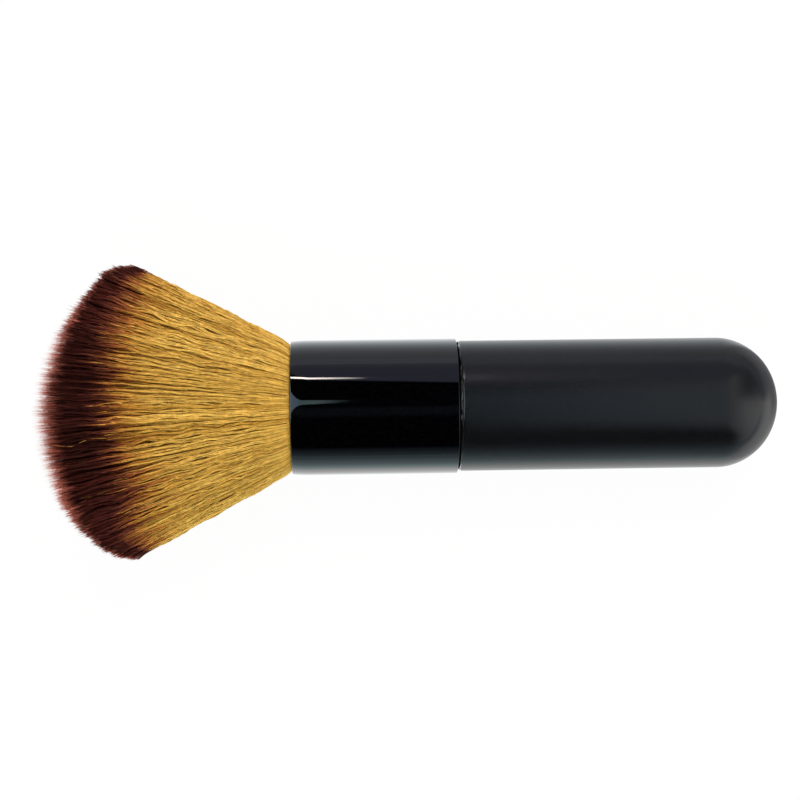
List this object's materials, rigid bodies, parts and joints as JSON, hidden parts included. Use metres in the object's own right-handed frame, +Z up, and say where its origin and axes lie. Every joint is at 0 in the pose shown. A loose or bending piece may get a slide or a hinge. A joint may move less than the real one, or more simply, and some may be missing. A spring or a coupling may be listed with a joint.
{
  "type": "blush brush",
  "caption": "Short-handled blush brush: a wide, flared, domed head of two-tone filaments in a gloss black tube ferrule, on a matte black handle with a domed end.",
  "frame": {"origin": "on the surface the brush lies on, under the middle of its bounding box", "axes": "+X towards the handle's domed end, along the brush's axis but for the slight lift of the head; +Y across the head's wide way; +Z up. The head points to -X, and the brush lies on its side, on the underside of the head and the handle's domed end."},
  "size_m": [0.1336, 0.054, 0.034],
  "materials": {
    "soft_touch_black_lacquer": "turned hardwood under a matte black soft-touch lacquer",
    "gloss_black_aluminium": "drawn aluminium tube in gloss black lacquer",
    "two_tone_filament": "crimped synthetic filaments, golden, with ends dyed dark red-brown",
    "tenon_glue": "cured adhesive, dark and glossy",
    "clear_resin": "cured potting resin, amber",
    "cotton_thread": "undyed cotton thread"
  },
  "bodies": {
    "root": {"handle": "soft_touch_black_lacquer", "ferrule": "gloss_black_aluminium", "bristle_bundle": "two_tone_filament", "tenon_glue": "tenon_glue", "root_plug": "clear_resin", "binding_thread": "cotton_thread"}
  },
  "joints": []
}
